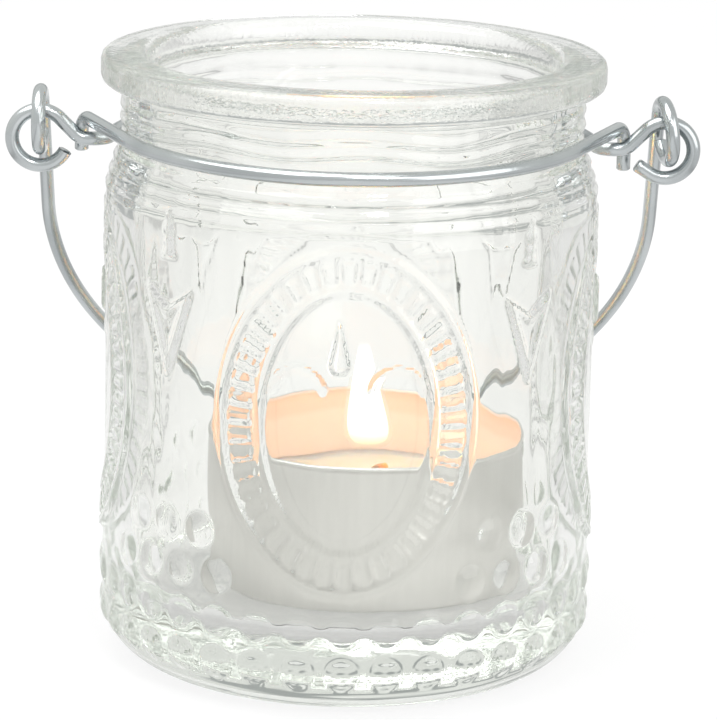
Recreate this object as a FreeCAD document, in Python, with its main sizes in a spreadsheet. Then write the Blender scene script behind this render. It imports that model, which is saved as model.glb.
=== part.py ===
"""Glass jar lantern: a pressed-glass jar, a two-piece neck wire, a swinging wire bail and a tealight.

Millimetres, +Z up. The origin is the centre of the jar's flat base, and the front of the jar faces -Y.
"""
import FreeCAD, Part
import math
import os
import Sketcher

Vector = FreeCAD.Vector
ORIGIN = Vector(0, 0, 0)
RIGHT = Vector(1, 0, 0)
BACK = Vector(0, 1, 0)
UP = Vector(0, 0, 1)

# Every size that can be set by itself, in millimetres or degrees
SIZES = {
    # tealight
    "cup_radius": 19.25,
    "cup_height": 18.7,
    "cup_wall": 0.3,
    "cup_foot_round": 0.9,
    "lip_radius": 0.32,
    "wax_depth": 10.2,
    "wick_radius": 0.65,
    "wick_stand": 1.0,
    "wick_bend_radius": 2.4,
    "wick_bend_angle": 62,
    "wick_tip": 0.9,
    "wick_heading": -12,
    "sustainer_radius": 8.0,
    "sustainer_sheet": 0.3,
    "collar_wall": 0.4,
    "collar_height": 4.5,
    "fit_gap": 0.05,
    "tealight_right": 2.65,
    "tealight_back": 2.0,
    # glass jar
    "mouth_room": 1.8,
    "neck_wall": 3.2,
    "rim_overhang": 2.57,
    "rim_band": 3.6,
    "rim_round": 1.0,
    "rim_round_share": 0.45,
    "lip_round": 1.5,
    "neck_length": 6.5,
    "neck_round": 9.0,
    "shoulder_step": 1.9,
    "shoulder_drop": 6.0,
    "shoulder_round": 9.0,
    "inner_neck_drop": 1.6,
    "inner_shoulder_drop": 1.1,
    "inner_shoulder_round": 5.0,
    "body_wall": 3.3,
    "jar_height": 74.7,
    "base_round": 6.7,
    "floor_thickness": 8.9,
    "floor_round": 3.0,
    # relief on the jar
    "bead_count": 36,
    "bead_radius": 1.9,
    "bead_relief": 0.55,
    "bead_first_row": 5.8,
    "bead_row_pitch": 5.3,
    "oval_count": 4,
    "oval_half_width": 15.1,
    "oval_border": 5.4,
    "oval_line": 1.1,
    "oval_foot": 15.4,
    "oval_top_gap": 1.6,
    "oval_relief": 0.45,
    "relief_root": 1.0,
    # neck wires
    "wire_radius": 0.85,
    "glass_gap": 0.25,
    "back_wire_drop": 1.1,
    "ear_turn_radius": 2.2,
    "ear_lead": 0.4,
    "ear_rise_radius": 2.2,
    "ear_rise_angle": 45,
    "ear_radius": 3.4,
    "left_ear_sweep": 286,
    "left_ear_tail": 0.2,
    "right_ear_sweep": 258,
    "right_ear_tail": 1.9,
    "wire_gap": 0.75,
    "front_wrap_angle": 65,
    "front_tilt": 2.1,
    "hook_radius": 2.35,
    "left_hook_tail": 2.0,
    "right_hook_tail": 3.1,
    # bail
    "eye_radius": 3.5,
    "eye_sweep": 300,
    "eye_lean": 20,
    "eye_twist": 12,
    "hinge_gap": 0.5,
    "leg_length": 16.9,
    "jar_gap": 0.9,
}

# Sizes and places that follow from the ones above
PLACES = {
    "cup_inner": "Sizes.cup_radius - Sizes.cup_wall",
    "wax_top": "Sizes.cup_wall + Sizes.wax_depth",
    "sheet_top": "Sizes.cup_wall + Sizes.sustainer_sheet",
    "collar_inner": "Sizes.wick_radius + Sizes.fit_gap",
    "collar_outer": "collar_inner + Sizes.collar_wall",
    "collar_top": "sheet_top + Sizes.collar_height",
    "tealight_offset": "sqrt(Sizes.tealight_right ^ 2 + Sizes.tealight_back ^ 2)",
    "tealight_reach": "tealight_offset + Sizes.cup_radius + Sizes.lip_radius",
    "mouth_radius": "tealight_reach + Sizes.mouth_room",
    "neck_radius": "mouth_radius + Sizes.neck_wall",
    "rim_radius": "neck_radius + Sizes.rim_overhang",
    "body_radius": "neck_radius + Sizes.shoulder_step",
    "inner_radius": "body_radius - Sizes.body_wall",
    "rim_under": "Sizes.jar_height - Sizes.rim_band",
    "neck_foot": "rim_under - Sizes.neck_length",
    "shoulder_foot": "neck_foot - Sizes.shoulder_drop",
    "inner_neck_foot": "neck_foot - Sizes.inner_neck_drop",
    "inner_shoulder": "shoulder_foot - Sizes.inner_shoulder_drop",
    "shoulder_slope": "Sizes.shoulder_step / Sizes.shoulder_drop",
    "oval_top": "shoulder_foot - Sizes.oval_top_gap",
    "oval_centre": "(oval_top + Sizes.oval_foot) / 2",
    "oval_half_height": "(oval_top - Sizes.oval_foot) / 2",
    "bead_orbit": "body_radius + Sizes.bead_relief - Sizes.bead_radius",
    "back_wire_height": "neck_foot - Sizes.back_wire_drop",
    "wire_flare": "(Sizes.back_wire_drop + Sizes.wire_radius) * shoulder_slope",
    "front_wrap_radius": "neck_radius + Sizes.wire_radius + Sizes.glass_gap",
    "back_wrap_radius": "front_wrap_radius + wire_flare",
    "front_wire_height": "back_wire_height + 2 * Sizes.wire_radius + Sizes.wire_gap",
    "ear_turn_angle": "asin(Sizes.ear_turn_radius / (back_wrap_radius + Sizes.ear_turn_radius))",
}

doc = FreeCAD.newDocument("jar_lantern")


def fill_sheet(name, rows):
    """One sheet with a named cell per row."""
    sheet = doc.addObject("Spreadsheet::Sheet", name)
    for row, (alias, content) in enumerate(rows.items(), 1):
        sheet.set(f"A{row}", alias)
        sheet.set(f"B{row}", content)
        sheet.setAlias(f"B{row}", alias)
    doc.recompute()
    return sheet


fill_sheet("Sizes", {alias: str(number) for alias, number in SIZES.items()})
places = fill_sheet("Places", {alias: "=" + formula for alias, formula in PLACES.items()})


def value(expression):
    """The number that an expression over the two sheets stands for."""
    result = places.evalExpression(expression)
    return float(getattr(result, "Value", result))


def size(alias):
    return value("Sizes." + alias)


def place(alias):
    return value("Places." + alias)


def origin_feature(body, role):
    return next(feature for feature in body.Origin.OriginFeatures if feature.Role == role)


def new_body(label):
    body = doc.addObject("PartDesign::Body", label)
    body.Label = label
    return body


def new_sketch(body, name):
    """An empty sketch on the body's own XZ plane: sketch x is the radius, sketch y is the height."""
    sketch = body.newObject("Sketcher::SketchObject", name)
    sketch.AttachmentSupport = [(origin_feature(body, "XZ_Plane"), "")]
    sketch.MapMode = "FlatFace"
    return sketch


def bind_corner(sketch, line, kind, expression):
    """Holds the start of a line at a bound distance from the sketch origin, or on the axis where it is 0."""
    if expression == "0":
        axis = -2 if kind == "DistanceX" else -1
        sketch.addConstraint(Sketcher.Constraint("PointOnObject", line, 1, axis))
        return
    index = sketch.addConstraint(Sketcher.Constraint(kind, -1, 1, line, 1, value(expression)))
    name = f"{kind}_{line}"
    sketch.renameConstraint(index, name)
    sketch.setExpression("Constraints." + name, expression)


def turned_body(label, corners):
    """A body turned about Z from a closed outline; each corner is a radius and a height, as expressions."""
    body = new_body(label)
    sketch = new_sketch(body, label + "_outline")
    points = [Vector(value(radius), value(height), 0) for radius, height in corners]
    count = len(points)
    for here in range(count):
        sketch.addGeometry(Part.LineSegment(points[here], points[(here + 1) % count]))
    for here in range(count):
        sketch.addConstraint(Sketcher.Constraint("Coincident", here, 2, (here + 1) % count, 1))
    for line, (radius, height) in enumerate(corners):
        bind_corner(sketch, line, "DistanceX", radius)
        bind_corner(sketch, line, "DistanceY", height)
    turn = body.newObject("PartDesign::Revolution", label + "_turn")
    turn.Profile = sketch
    turn.ReferenceAxis = (sketch, ["V_Axis"])
    turn.Angle = 360
    doc.recompute()
    return body


def round_rings(body, name, radius_expression, rings):
    """Rounds the circular edges of a turned body at the given radii and heights."""
    near = 0.001
    wanted = [(value(radius), value(height)) for radius, height in rings]
    names = []
    for index, edge in enumerate(body.Tip.Shape.Edges, 1):
        if not isinstance(edge.Curve, Part.Circle):
            continue
        for radius, height in wanted:
            if abs(edge.Curve.Radius - radius) < near and abs(edge.Curve.Center.z - height) < near:
                names.append(f"Edge{index}")
    fillet = body.newObject("PartDesign::Fillet", name)
    fillet.Base = (fillet.BaseFeature, names)
    fillet.setExpression("Radius", radius_expression)
    doc.recompute()


def set_place(part, right="0", back="0", height="0"):
    """Binds a sub-part's place to the sheets."""
    for axis, expression in (("x", right), ("y", back), ("z", height)):
        part.setExpression("Placement.Base." + axis, expression)


def bead(body, name, height, degrees):
    """One round bead sunk into the wall, at an angle round the jar from its front."""
    angle = math.radians(degrees)
    sphere = body.newObject("PartDesign::AdditiveSphere", name)
    sphere.setExpression("Radius", "Sizes.bead_radius")
    sphere.setExpression("Placement.Base.x", f"Places.bead_orbit * {math.sin(angle):.9f}")
    sphere.setExpression("Placement.Base.y", f"-Places.bead_orbit * {math.cos(angle):.9f}")
    sphere.setExpression("Placement.Base.z", height)
    return sphere


def repeat_round(body, name, originals, count):
    """Repeats beads evenly about the jar's axis."""
    doc.recompute()
    ring = body.newObject("PartDesign::PolarPattern", name)
    ring.Originals = originals
    ring.Axis = (origin_feature(body, "Z_Axis"), [""])
    ring.Angle = 360
    ring.setExpression("Occurrences", count)
    body.Tip = ring
    doc.recompute()


def jar_glass():
    """The turned wall of the jar, rounded where a pressing is round, with its beads."""
    body = turned_body("jar_wall", [
        ("0", "0"),
        ("Places.body_radius", "0"),
        ("Places.body_radius", "Places.shoulder_foot"),
        ("Places.neck_radius", "Places.neck_foot"),
        ("Places.neck_radius", "Places.rim_under"),
        ("Places.rim_radius", "Places.rim_under"),
        ("Places.rim_radius", "Sizes.jar_height"),
        ("Places.mouth_radius", "Sizes.jar_height"),
        ("Places.mouth_radius", "Places.inner_neck_foot"),
        ("Places.inner_radius", "Places.inner_shoulder"),
        ("Places.inner_radius", "Sizes.floor_thickness"),
        ("0", "Sizes.floor_thickness"),
    ])
    round_rings(body, "base_corner", "Sizes.base_round", [("Places.body_radius", "0")])
    round_rings(body, "floor_corner", "Sizes.floor_round", [("Places.inner_radius", "Sizes.floor_thickness")])
    round_rings(body, "rim_edges", "min(Sizes.rim_round; Sizes.rim_round_share * Sizes.rim_band)", [
        ("Places.rim_radius", "Places.rim_under"),
        ("Places.rim_radius", "Sizes.jar_height"),
    ])
    round_rings(body, "mouth_edge", "Sizes.lip_round", [("Places.mouth_radius", "Sizes.jar_height")])
    shoulder_ring = ("Places.body_radius", "Places.shoulder_foot")
    round_rings(body, "shoulder_bend", "Sizes.shoulder_round", [shoulder_ring])
    round_rings(body, "neck_bend", "Sizes.neck_round", [("Places.neck_radius", "Places.neck_foot")])
    round_rings(body, "inner_bends", "Sizes.inner_shoulder_round", [
        ("Places.mouth_radius", "Places.inner_neck_foot"),
        ("Places.inner_radius", "Places.inner_shoulder"),
    ])
    pitch = 360 / size("bead_count")
    corner = 180 / size("oval_count")
    rows = [f"Sizes.bead_first_row + {row} * Sizes.bead_row_pitch" for row in range(5)]
    # between the ovals the beads are stacked into a point
    stack = []
    for row, across in ((2, (-1.5, -0.5, 0.5, 1.5)), (3, (-1, 0, 1)), (4, (0,))):
        for number, step in enumerate(across, 1):
            stack.append(bead(body, f"corner_bead_{row}_{number}", rows[row], corner + step * pitch))
    belt = [bead(body, "low_bead", rows[0], 0), bead(body, "belt_bead", rows[1], 0)]
    repeat_round(body, "bead_corners", stack, "Sizes.oval_count")
    repeat_round(body, "bead_belt", belt, "Sizes.bead_count")
    return body


def oval_prism(name, direction, trim):
    """A long oval prism through the jar along X or Y, trimmed in from the outer oval of the relief."""
    oval = doc.addObject("Part::Ellipse", name + "_oval")
    oval.setExpression("MajorRadius", f"Places.oval_half_height - {trim}")
    oval.setExpression("MinorRadius", f"Sizes.oval_half_width - {trim}")
    upright = FreeCAD.Rotation(BACK, -90)
    facing = FreeCAD.Rotation(UP, 0 if direction == RIGHT else 90)
    oval.Placement = FreeCAD.Placement(ORIGIN, facing.multiply(upright))
    oval.setExpression("Placement.Base.z", "Places.oval_centre")
    prism = doc.addObject("Part::Extrusion", name)
    prism.Base = oval
    prism.Dir = direction
    prism.Solid = True
    prism.Symmetric = True
    prism.setExpression("LengthFwd", "2 * (Places.body_radius + Sizes.relief_root)")
    return prism


def cut(name, base, tool):
    result = doc.addObject("Part::Cut", name)
    result.Base = base
    result.Tool = tool
    return result


def relief_sleeve():
    """A thin sleeve round the jar, rooted in its wall, that the raised lines are cut from."""
    tubes = []
    for name, radius in (("sleeve_outside", "Places.body_radius + Sizes.oval_relief"),
                         ("sleeve_inside", "Places.body_radius - Sizes.relief_root")):
        tube = doc.addObject("Part::Cylinder", name)
        tube.setExpression("Radius", radius)
        tube.setExpression("Height", "Places.shoulder_foot")
        tubes.append(tube)
    return cut("relief_sleeve", *tubes)


def oval_lines():
    """Two raised oval lines on each of the four sides of the jar."""
    sleeve = relief_sleeve()
    inner_trim = "(Sizes.oval_border - Sizes.oval_line)"
    lines = []
    for side, direction in (("front", BACK), ("side", RIGHT)):
        for line, trim in (("outer", "0"), ("inner", inner_trim)):
            name = f"{side}_{line}"
            around = oval_prism(name + "_around", direction, trim)
            within = oval_prism(name + "_within", direction, f"{trim} - Sizes.oval_line")
            pair = doc.addObject("Part::Common", name + "_lines")
            pair.Base = sleeve
            pair.Tool = cut(name + "_band", around, within)
            lines.append(pair)
    return lines


def glass_jar():
    jar = doc.addObject("Part::MultiFuse", "glass_jar")
    jar.Label = "glass_jar"
    jar.Shapes = [jar_glass(), *oval_lines()]
    return jar


def mirrored(vector):
    return Vector(-vector.x, vector.y, vector.z)


def trace(start, heading, steps):
    """Follows straight runs and tangent bends: a step is (length,) or (axis, radius, degrees)."""
    longest_arc = 120
    edges = []
    here = start
    for step in steps:
        if len(step) == 1:
            there = here + heading * step[0]
            edges.append(Part.makeLine(here, there))
            here = there
            continue
        axis, radius, degrees = step
        centre = here + axis.cross(heading) * radius
        parts = max(1, math.ceil(degrees / longest_arc))
        for _ in range(parts):
            whole = FreeCAD.Rotation(axis, degrees / parts)
            half = FreeCAD.Rotation(axis, degrees / parts / 2)
            middle = centre + half.multVec(here - centre)
            there = centre + whole.multVec(here - centre)
            edges.append(Part.Arc(here, middle, there).toShape())
            heading = whole.multVec(heading)
            here = there
    return edges, here, heading


def bent_wire(label, start, left_half, right_half):
    """A round wire bent from its middle, heading +X: one half as listed, the other listed and mirrored."""
    _, left_end, left_heading = trace(start, RIGHT, left_half)
    to_middle = []
    for step in reversed(left_half):
        to_middle.append(step if len(step) == 1 else (mirrored(step[0]), *step[1:]))
    end = mirrored(left_end)
    heading = mirrored(left_heading) * -1
    edges, _, _ = trace(end, heading, to_middle + right_half)
    radius = size("wire_radius")
    path = Part.Wire(edges)
    section = Part.Wire(Part.makeCircle(radius, end, heading))
    solid = path.makePipeShell([section], True, False)
    expected = math.pi * radius ** 2 * path.Length
    print(f"{label}: length {path.Length:.1f} mm, volume {solid.Volume:.1f} of {expected:.1f} mm3")
    wire = doc.addObject("Part::Feature", label)
    wire.Label = label
    wire.Shape = solid
    return wire


def ear_climb(rise):
    """How far the straight run between the bends of an ear climbs, so that the ear is level with the wire."""
    return size("ear_radius") * math.cos(rise) - size("ear_rise_radius") * (1 - math.cos(rise))


def neck_wire_back():
    """Round the back of the neck, out along X at each side and up over into an ear."""
    turn = place("ear_turn_angle")
    rise = math.radians(size("ear_rise_angle"))
    halves = []
    for side in ("left", "right"):
        halves.append([
            (UP * -1, place("back_wrap_radius"), 90 - turn),
            (UP, size("ear_turn_radius"), 90 - turn),
            (size("ear_lead"),),
            (BACK * -1, size("ear_rise_radius"), size("ear_rise_angle")),
            (ear_climb(rise) / math.sin(rise),),
            (BACK, size("ear_radius"), size(side + "_ear_sweep")),
            (size(side + "_ear_tail"),),
        ])
    start = Vector(0, place("back_wrap_radius"), 0)
    wire = bent_wire("neck_wire_back", start, *halves)
    set_place(wire, height="Places.back_wire_height")
    return wire


def ear_distance():
    """From the jar's axis to the middle of an ear."""
    rise = math.radians(size("ear_rise_angle"))
    turn = math.radians(place("ear_turn_angle"))
    leg_start = (place("back_wrap_radius") + size("ear_turn_radius")) * math.cos(turn)
    bend = (size("ear_rise_radius") + size("ear_radius")) * math.sin(rise)
    return leg_start + size("ear_lead") + bend + ear_climb(rise) / math.tan(rise)


def neck_wire_front():
    """Round the front of the neck, straight off at each side, over the back wire and down behind it."""
    wrap = math.radians(size("front_wrap_angle"))
    off_neck = Vector(math.cos(wrap), math.sin(wrap), 0)
    half = [
        (UP, place("front_wrap_radius"), size("front_wrap_angle")),
        (place("front_wrap_radius") / math.tan(wrap),),
        (UP.cross(off_neck), size("hook_radius"), 90),
    ]
    tails = [(size("left_hook_tail"),)], [(size("right_hook_tail"),)]
    start = Vector(0, -place("front_wrap_radius"), 0)
    wire = bent_wire("neck_wire_front", start, half + tails[0], half + tails[1])
    wire.Placement = FreeCAD.Placement(ORIGIN, FreeCAD.Rotation(RIGHT, size("front_tilt")))
    set_place(wire, height="Places.front_wire_height")
    return wire


def bail_lean(hinge, arch_radius):
    """How far back from straight down the bail hangs when its lowest point rests on the back of the jar."""
    reach = place("body_radius") + size("jar_gap") + size("wire_radius") - hinge.y
    hang = math.hypot(size("leg_length") + arch_radius, size("eye_radius"))
    offset = math.atan2(size("eye_radius"), size("leg_length") + arch_radius)
    return math.degrees(math.asin(reach / hang) - offset)


def bail_handle():
    """Two legs and a round arch; each leg curls forward into an eye, and the right eye is twisted."""
    slack = size("eye_radius") - 2 * size("wire_radius") - size("hinge_gap")
    lean = math.radians(size("eye_lean"))
    ear_top = place("back_wire_height") + size("ear_radius")
    hinge = Vector(0, slack * math.sin(lean), ear_top - slack * math.cos(lean))
    twist = math.radians(size("eye_twist"))
    twist_shift = size("eye_radius") * math.sin(twist)
    arch_radius = ear_distance() - twist_shift / 2
    legs = [(BACK * -1, arch_radius, 90), (size("leg_length"),)]
    left_half = legs + [(RIGHT, size("eye_radius"), size("eye_sweep"))]
    twisted = Vector(math.cos(twist), math.sin(twist), 0)
    right_half = legs + [(twisted, size("eye_radius"), size("eye_sweep"))]
    start = Vector(0, size("eye_radius"), -size("leg_length") - arch_radius)
    wire = bent_wire("bail_handle", start, left_half, right_half)
    hang = bail_lean(hinge, arch_radius)
    middle = Vector(-twist_shift / 2, hinge.y, hinge.z)
    wire.Placement = FreeCAD.Placement(middle, FreeCAD.Rotation(RIGHT, hang))
    print(f"bail hinge y {hinge.y:.3f}, z {hinge.z:.3f} mm, hanging {hang:.2f} degrees back from vertical")
    return wire


def stand_in_jar(part):
    """The tealight's pieces stand on the glass floor, a little off the jar's axis."""
    set_place(part, "Sizes.tealight_right", "Sizes.tealight_back", "Sizes.floor_thickness")
    return part


def tealight_cup():
    """A drawn cup with a rounded foot and a rolled lip."""
    body = turned_body("tealight_cup", [
        ("0", "0"),
        ("Sizes.cup_radius", "0"),
        ("Sizes.cup_radius", "Sizes.cup_height"),
        ("Places.cup_inner", "Sizes.cup_height"),
        ("Places.cup_inner", "Sizes.cup_wall"),
        ("0", "Sizes.cup_wall"),
    ])
    round_rings(body, "cup_foot", "Sizes.cup_foot_round", [("Sizes.cup_radius", "0")])
    inner_round = "Sizes.cup_foot_round - Sizes.cup_wall"
    round_rings(body, "cup_heel", inner_round, [("Places.cup_inner", "Sizes.cup_wall")])
    lip = body.newObject("PartDesign::AdditiveTorus", "cup_lip")
    lip.setExpression("Radius1", "Sizes.cup_radius - Sizes.cup_wall / 2")
    lip.setExpression("Radius2", "Sizes.lip_radius")
    lip.setExpression("Placement.Base.z", "Sizes.cup_height")
    return stand_in_jar(body)


def tealight_wax():
    """A block of wax cast round the foot and collar of the wick."""
    body = turned_body("tealight_wax", [
        ("Sizes.sustainer_radius + Sizes.fit_gap", "Sizes.cup_wall"),
        ("Places.cup_inner - Sizes.fit_gap", "Sizes.cup_wall"),
        ("Places.cup_inner - Sizes.fit_gap", "Places.wax_top"),
        ("Places.collar_inner", "Places.wax_top"),
        ("Places.collar_inner", "Places.collar_top + Sizes.fit_gap"),
        ("Places.collar_outer + Sizes.fit_gap", "Places.collar_top + Sizes.fit_gap"),
        ("Places.collar_outer + Sizes.fit_gap", "Places.sheet_top + Sizes.fit_gap"),
        ("Sizes.sustainer_radius + Sizes.fit_gap", "Places.sheet_top + Sizes.fit_gap"),
    ])
    heel = ("Places.cup_inner - Sizes.fit_gap", "Sizes.cup_wall")
    round_rings(body, "wax_heel", "Sizes.cup_foot_round", [heel])
    return stand_in_jar(body)


def wick_sustainer():
    """A tin disc on the cup's floor with a collar that grips the wick."""
    body = turned_body("wick_sustainer", [
        ("0", "Sizes.cup_wall"),
        ("Sizes.sustainer_radius", "Sizes.cup_wall"),
        ("Sizes.sustainer_radius", "Places.sheet_top"),
        ("Places.collar_outer", "Places.sheet_top"),
        ("Places.collar_outer", "Places.collar_top"),
        ("Places.collar_inner", "Places.collar_top"),
        ("Places.collar_inner", "Places.sheet_top"),
        ("0", "Places.sheet_top"),
    ])
    return stand_in_jar(body)


def tealight_wick():
    """A round wick that stands in its collar, rises out of the wax and curls over at its burnt end."""
    radius = size("wick_radius")
    foot = Vector(0, 0, place("sheet_top"))
    heading = math.radians(size("wick_heading"))
    curl_axis = UP.cross(Vector(math.cos(heading), math.sin(heading), 0))
    upright = place("wax_top") + size("wick_stand") - place("sheet_top")
    curl = (curl_axis, size("wick_bend_radius"), size("wick_bend_angle"))
    edges, _, _ = trace(foot, UP, [(upright,), curl, (size("wick_tip"),)])
    section = Part.Wire(Part.makeCircle(radius, foot, UP))
    wick = doc.addObject("Part::Feature", "tealight_wick")
    wick.Label = "tealight_wick"
    wick.Shape = Part.Wire(edges).makePipeShell([section], True, False)
    return stand_in_jar(wick)


def write_parts(parts):
    """Stops at any failed object or bad solid, then writes one file per sub-part."""
    doc.recompute()
    for thing in doc.Objects:
        if "Invalid" in thing.State or "Error" in thing.State:
            raise RuntimeError(f"{thing.Label} failed: {thing.State}")
    for part in parts:
        if part.Shape.isNull() or not part.Shape.isValid() or len(part.Shape.Solids) != 1:
            raise RuntimeError(f"{part.Label} isn't one good solid")
    os.makedirs("parts", exist_ok=True)
    for part in parts:
        part.Shape.exportStep(f"parts/{part.Label}.step")
        box = part.Shape.BoundBox
        print(f"{part.Label}: {part.Shape.Volume:.1f} mm3, z {box.ZMin:.2f} to {box.ZMax:.2f} mm")


write_parts([
    glass_jar(),
    neck_wire_back(),
    neck_wire_front(),
    bail_handle(),
    tealight_cup(),
    tealight_wax(),
    tealight_wick(),
    wick_sustainer(),
])
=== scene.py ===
# %% [markdown]
# # A pressed-glass jar lantern
#
# The lantern is a thick glass jar with a wire tied round its neck, a wire handle that swings on two ears, and a
# lit tealight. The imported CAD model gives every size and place. This lesson dresses it: each piece is a surface
# worked out with numpy, and each finish is a small node tree. Lengths of pieces are written in millimetres and
# become metres when a mesh is made. Shader nodes and lamps work in metres.

# %% Load the frame
import math
import bpy
import numpy as np
from mathutils import Matrix, Vector


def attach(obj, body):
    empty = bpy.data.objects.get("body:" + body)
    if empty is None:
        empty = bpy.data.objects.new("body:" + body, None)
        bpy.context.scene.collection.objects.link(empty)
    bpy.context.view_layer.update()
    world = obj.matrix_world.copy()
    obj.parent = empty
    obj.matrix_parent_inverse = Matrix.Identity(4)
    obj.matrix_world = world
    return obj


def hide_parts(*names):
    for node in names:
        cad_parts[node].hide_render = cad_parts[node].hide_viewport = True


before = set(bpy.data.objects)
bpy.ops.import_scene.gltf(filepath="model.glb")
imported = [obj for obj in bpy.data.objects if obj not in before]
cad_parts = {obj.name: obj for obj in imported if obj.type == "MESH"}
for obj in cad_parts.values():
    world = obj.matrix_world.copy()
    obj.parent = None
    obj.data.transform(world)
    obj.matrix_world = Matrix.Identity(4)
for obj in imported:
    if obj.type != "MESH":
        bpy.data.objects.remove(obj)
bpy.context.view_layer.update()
MM = 0.001

# %% [markdown]
# ## The camera
#
# The camera was solved from the rim, neck, body and tealight in the photograph. It stands nearly half a metre in
# front of the jar, looks down by fourteen degrees and leans a little. A long lens keeps the jar's sides upright.
# A camera could be aimed with a constraint. Its three axes are worked out directly here, because that shows what
# a camera matrix holds: its right, its up, the way back from the view, and the place of the eye.

# %% Camera
VIEW_DISTANCE = 478.98
VIEW_PITCH = math.radians(14.011)
VIEW_ROLL = math.radians(1.199)
VIEW_TARGET = np.array([1.245, 0.0, 36.555])
FOCAL_PIXELS = 3902.5
PHOTO_LONG_SIDE = 720
SENSOR = 36.0

toward_eye = np.array([0.0, -math.cos(VIEW_PITCH), math.sin(VIEW_PITCH)])
level_up = np.array([0.0, math.sin(VIEW_PITCH), math.cos(VIEW_PITCH)])
level_right = np.array([1.0, 0.0, 0.0])
view_right = level_right * math.cos(VIEW_ROLL) + level_up * math.sin(VIEW_ROLL)
view_up = level_up * math.cos(VIEW_ROLL) - level_right * math.sin(VIEW_ROLL)
eye = (VIEW_TARGET + toward_eye * VIEW_DISTANCE) * MM

lens = bpy.data.cameras.new("view_lens")
lens.sensor_width = SENSOR
lens.lens = FOCAL_PIXELS * SENSOR / PHOTO_LONG_SIDE
lens.clip_start = 0.01
lens.clip_end = 20
viewer = bpy.data.objects.new("viewer", lens)
bpy.context.scene.collection.objects.link(viewer)
view_axes = np.stack([view_right, view_up, toward_eye], 1)
view_rows = [[*row, place] for row, place in zip(view_axes, eye)]
viewer.matrix_world = Matrix(view_rows + [[0, 0, 0, 1]])
bpy.context.scene.camera = viewer
print("eye in mm:", np.round(eye / MM, 1), "lens", round(lens.lens, 1))

# %% [markdown]
# ## From arrays to meshes
#
# A surface here is a grid of points: rows along a profile or a path, columns round it. One function turns any
# such grid into a closed mesh by joining the last column to the first and capping both ends with a point. Writing
# the faces as whole index arrays is much quicker than adding them one by one.

# %% Grid meshes
def grid_faces(rows, columns, first=0):
    """Quads of a grid whose columns close on themselves: corner (i, j) is number first + i * columns + j."""
    row = np.arange(rows - 1)[:, None] * columns + first
    here = np.arange(columns)[None, :]
    following = (here + 1) % columns
    corners = [row + here, row + following, row + following + columns, row + here + columns]
    return np.stack(corners, -1).reshape(-1, 4)


def fan_faces(ring, tip, flip):
    """Triangles from a closed ring of point numbers to one tip."""
    around = np.roll(ring, -1)
    pair = (around, ring) if flip else (ring, around)
    return np.stack([*pair, np.full_like(ring, tip)], -1)


def capped_grid(grid):
    """Points and faces of a closed skin: the grid's first and last rows are each drawn together in a point."""
    rows, columns, _ = grid.shape
    points = np.concatenate([grid.reshape(-1, 3), [grid[0].mean(0)], [grid[-1].mean(0)]])
    start, end = rows * columns, rows * columns + 1
    ring = np.arange(columns)
    faces = grid_faces(rows, columns).tolist()
    faces += fan_faces(ring, start, True).tolist()
    faces += fan_faces(ring + (rows - 1) * columns, end, False).tolist()
    return points, faces


print("a grid of 3 by 4 points has", len(grid_faces(3, 4)), "quads")

# %% [markdown]
# ## Pieces that ride on the CAD bodies
#
# A finished mesh takes the place of a CAD node and moves with that node's body, so the joints still work. A mesh
# can also carry a number for each point. A material reads that number by its name, which is a simple way to give
# one piece two finishes.

# %% Pieces
def new_piece(name, points, faces, body, node=None):
    """A smooth mesh piece from points in millimetres; it rides on a CAD body and may stand for a CAD node."""
    mesh = bpy.data.meshes.new(name)
    mesh.from_pydata((np.asarray(points) * MM).tolist(), [], faces)
    mesh.polygons.foreach_set("use_smooth", np.ones(len(mesh.polygons), bool))
    mesh.validate()
    mesh.update()
    piece = bpy.data.objects.new(name, mesh)
    bpy.context.scene.collection.objects.link(piece)
    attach(piece, body)
    if node:
        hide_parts(node)
    triangles = sum(len(face) - 2 for face in faces)
    print(f"{name}: {len(points)} points, {triangles} triangles")
    return piece


def add_values(piece, name, values):
    """Stores one number per point under a name that a material can read."""
    numbers = np.asarray(values, np.float32)
    piece.data.attributes.new(name, "FLOAT", "POINT").data.foreach_set("value", numbers)
    print(f"{piece.name}: {name} from {numbers.min():.2f} to {numbers.max():.2f}")


# %% [markdown]
# ## The outline of a turned piece
#
# The jar and the tealight are round, so each starts as a half section: corners given by radius, height and the
# radius of the rounding there. The outline could be drawn as a curve and spun. Working it out as points keeps
# control of where the rows go, and the jar needs many rows where its relief is and few elsewhere.

# %% Outlines
def rounded_outline(corners, arc_points=14):
    """A half section from corners (radius, height, rounding): each corner becomes an arc tangent to both sides.

    The arc starts rounding * tan(half the turn) before the corner; its points turn evenly from there.
    """
    flat = np.array([corner[:2] for corner in corners], float)
    runs = [flat[:1]]
    for before, here, after, (_, _, rounding) in zip(flat, flat[1:], flat[2:], corners[1:-1]):
        if not rounding:
            runs.append(here[None])
            continue
        arrive = (here - before) / np.linalg.norm(here - before)
        leave = (after - here) / np.linalg.norm(after - here)
        side = np.sign(arrive[0] * leave[1] - arrive[1] * leave[0])
        turn = math.acos(np.clip(arrive @ leave, -1, 1))
        back_off = rounding * math.tan(turn / 2)
        inward = side * np.array([-arrive[1], arrive[0]])
        centre = here - arrive * back_off + inward * rounding
        swept = np.linspace(0, turn, arc_points)[:, None]
        runs.append(centre - inward * rounding * np.cos(swept) + arrive * rounding * np.sin(swept))
    runs.append(flat[-1:])
    return np.concatenate(runs)


def along(outline, wanted):
    """Points on an outline at the wanted distances from its start."""
    reach = np.concatenate([[0], np.cumsum(np.linalg.norm(np.diff(outline, axis=0), axis=1))])
    return np.stack([np.interp(wanted, reach, outline[:, 0]), np.interp(wanted, reach, outline[:, 1])], -1)


def outline_length(outline):
    """The sum of an outline's steps."""
    return float(np.linalg.norm(np.diff(outline, axis=0), axis=1).sum())


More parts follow.
